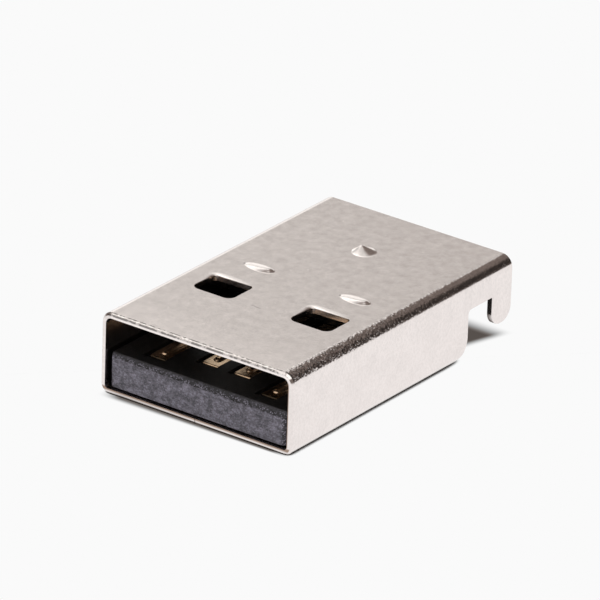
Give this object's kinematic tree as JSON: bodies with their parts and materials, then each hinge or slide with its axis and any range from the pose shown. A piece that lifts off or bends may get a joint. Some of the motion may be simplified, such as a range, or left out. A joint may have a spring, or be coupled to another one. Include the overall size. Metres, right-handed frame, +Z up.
{
  "type": "usb-a plug",
  "caption": "Flat four-way USB-A plug for sinking into a board edge: folded metal shell with latch holes and solder legs around a moulded tongue with strip contacts.",
  "frame": {"origin": "middle of the underside, at the centre of the footprint", "axes": "+X across the plug, +Y from the mouth to the rear along its length, +Z up from the underside to the roof with the latch holes"},
  "size_m": [0.012, 0.0188, 0.0048],
  "materials": {
    "nickel_plated_steel": "nickel plated, satin with fine pits and rolling lines",
    "black_nylon": "moulded black glass-filled nylon, matte and slightly speckled",
    "gold_plated_brass": "thin gold plate, bright"
  },
  "bodies": {
    "root": {"shell": "nickel_plated_steel", "insulator": "black_nylon", "contact_ground": "gold_plated_brass", "contact_data_plus": "gold_plated_brass", "contact_data_minus": "gold_plated_brass", "contact_power": "gold_plated_brass"}
  },
  "joints": []
}
